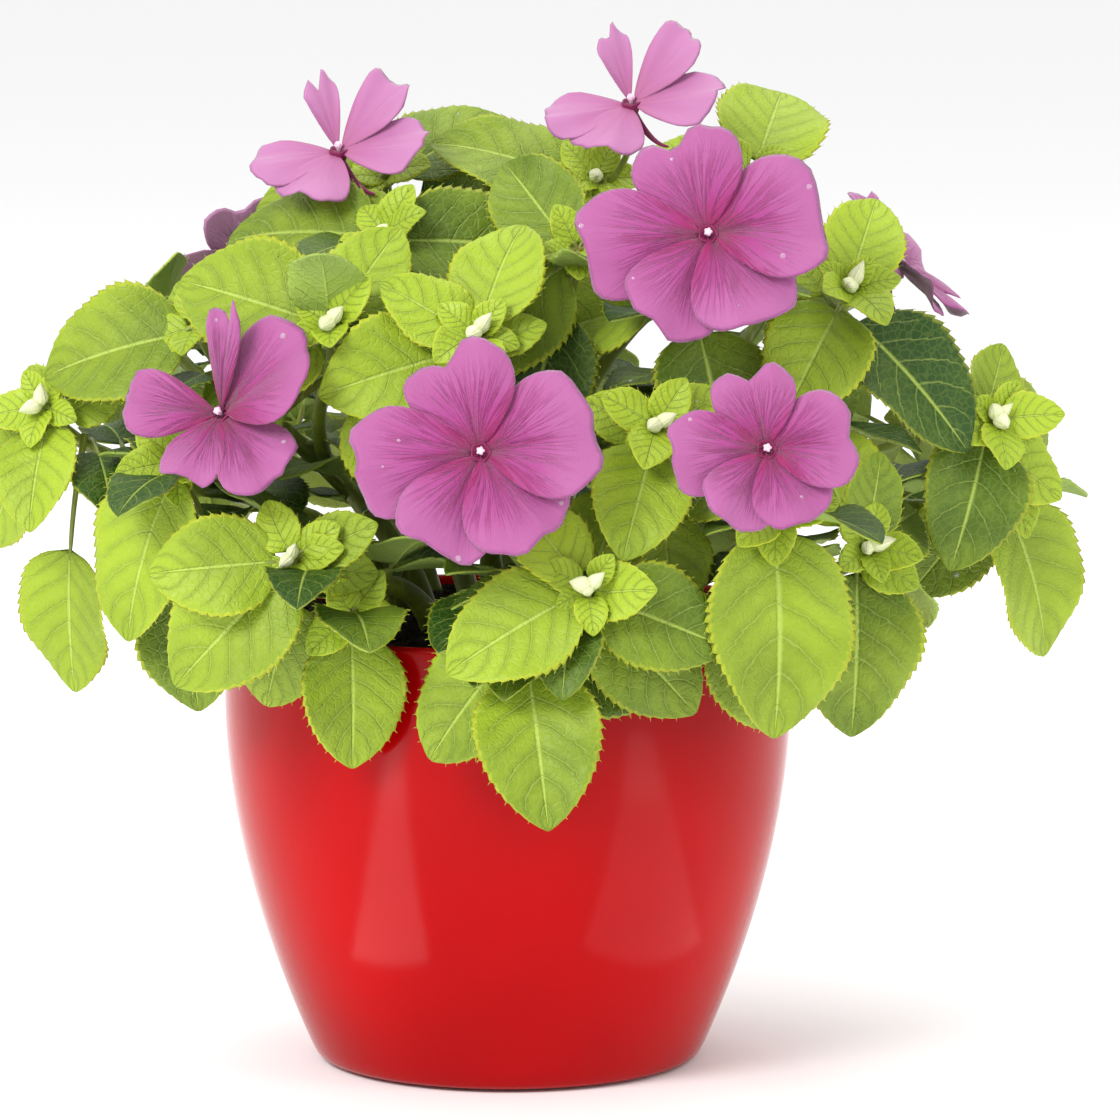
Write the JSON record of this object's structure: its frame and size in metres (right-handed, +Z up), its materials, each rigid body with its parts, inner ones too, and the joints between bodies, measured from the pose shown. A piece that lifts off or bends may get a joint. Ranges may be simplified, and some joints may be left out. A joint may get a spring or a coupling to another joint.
{
  "type": "busy lizzie",
  "caption": "Flowering busy lizzie with toothed leaves, five-petalled blooms and pale buds on fleshy stems, rooted in soil in a round glossy pot with a flat foot.",
  "frame": {"origin": "middle of the pot's flat foot, on the surface that the pot stands on", "axes": "+Z up along the pot's axis; the plant's front, as pictured, looks along -Y; +X to the viewer's right"},
  "size_m": [0.2567, 0.2155, 0.2395],
  "materials": {
    "pot": "glossy red glaze-like coat",
    "soil": "dark crumbly peat",
    "foliage": "fresh green leaf, half matt, with a lighter toothed edge",
    "petal": "soft lavender-pink petal, matt",
    "eye": "small white-pink eye",
    "bud": "pale cream-green bud"
  },
  "bodies": {
    "root": {"bloom_back": "petal", "bloom_back_left": "petal", "bloom_back_low": "petal", "bloom_centre": "petal", "bloom_far_right": "petal", "bloom_left": "petal", "bloom_right": "petal", "bloom_top": "petal", "bloom_upper_left": "petal", "bloom_upper_right": "petal", "buds_back_0": "bud", "buds_back_1": "bud", "buds_back_left_0": "bud", "buds_back_left_1": "bud", "buds_back_right_0": "bud", "buds_back_right_1": "bud", "buds_front_0": "bud", "buds_front_high_0": "bud", "buds_left_front_0": "bud", "buds_left_high_1": "bud", "buds_left_low_0": "bud", "buds_left_low_1": "bud", "buds_middle_0": "bud", "buds_right_0": "bud", "buds_right_front_0": "bud", "buds_right_high_0": "bud", "buds_top_0": "bud", "buds_top_left_0": "bud", "buds_top_left_1": "bud", "eye_back": "eye", "eye_back_left": "eye", "eye_back_low": "eye", "eye_centre": "eye", "eye_far_right": "eye", "eye_left": "eye", "eye_right": "eye", "eye_top": "eye", "eye_upper_left": "eye", "eye_upper_right": "eye", "pot": "pot", "soil": "soil", "stem_back": "foliage", "stem_back_left": "foliage", "stem_back_right": "foliage", "stem_front": "foliage", "stem_front_high": "foliage", "stem_left_front": "foliage", "stem_left_high": "foliage", "stem_left_low": "foliage", "stem_middle": "foliage", "stem_right": "foliage", "stem_right_front": "foliage", "stem_right_high": "foliage", "stem_top": "foliage", "stem_top_left": "foliage"}
  },
  "joints": []
}
